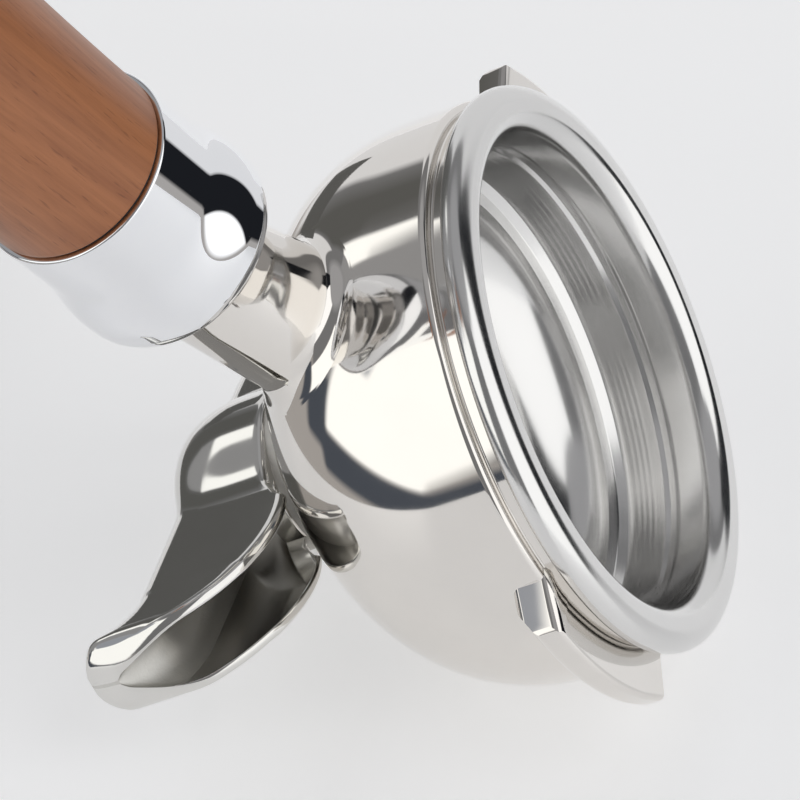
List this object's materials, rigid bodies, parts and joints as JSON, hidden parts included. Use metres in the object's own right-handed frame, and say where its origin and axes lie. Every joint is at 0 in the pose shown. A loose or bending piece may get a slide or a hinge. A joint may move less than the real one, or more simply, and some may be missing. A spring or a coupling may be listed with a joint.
{
  "type": "portafilter",
  "caption": "Filter holder with bayonet lugs, a lift-out basket, a turning double open spout and a turned wooden handle behind a polished ferrule.",
  "frame": {"origin": "centre of the basket rim's top sealing face, on the bowl's axis", "axes": "+Z along the bowl's axis toward the open mouth, +X out along the handle, +Y toward one of the two bayonet lugs"},
  "size_m": [0.22, 0.0796, 0.0608],
  "materials": {
    "chromed_casting": "polished",
    "basket_steel": "polished outside, drawn inside",
    "spring_steel": "drawn wire",
    "chromed_spout": "polished, rough cast in the troughs",
    "brass": "machined",
    "seal": "matt",
    "stud_steel": "machined",
    "rubber": "matt",
    "chromed_ferrule": "polished",
    "wood": "satin lacquer"
  },
  "bodies": {
    "holder": {"filter_holder_body": "chromed_casting", "basket_spring": "spring_steel", "spout_nipple": "brass", "spout_washer": "seal", "handle_stud": "stud_steel", "neck_washer": "rubber", "ferrule": "chromed_ferrule", "ferrule_seat_ring": "rubber", "threaded_insert": "brass", "wood_handle": "wood"},
    "basket": {"filter_basket": "basket_steel"},
    "spout": {"double_spout": "chromed_spout"}
  },
  "joints": [
    {"name": "basket_lift", "type": "slide", "parent": "holder", "child": "basket", "axis": [0, 0, 1], "range_m": [0, 0.036]},
    {"name": "spout_turn", "type": "hinge", "parent": "holder", "child": "spout", "pos_m": [0, 0, -0.048], "axis": [0, 0, 1], "range_deg": [-90, 90]}
  ]
}
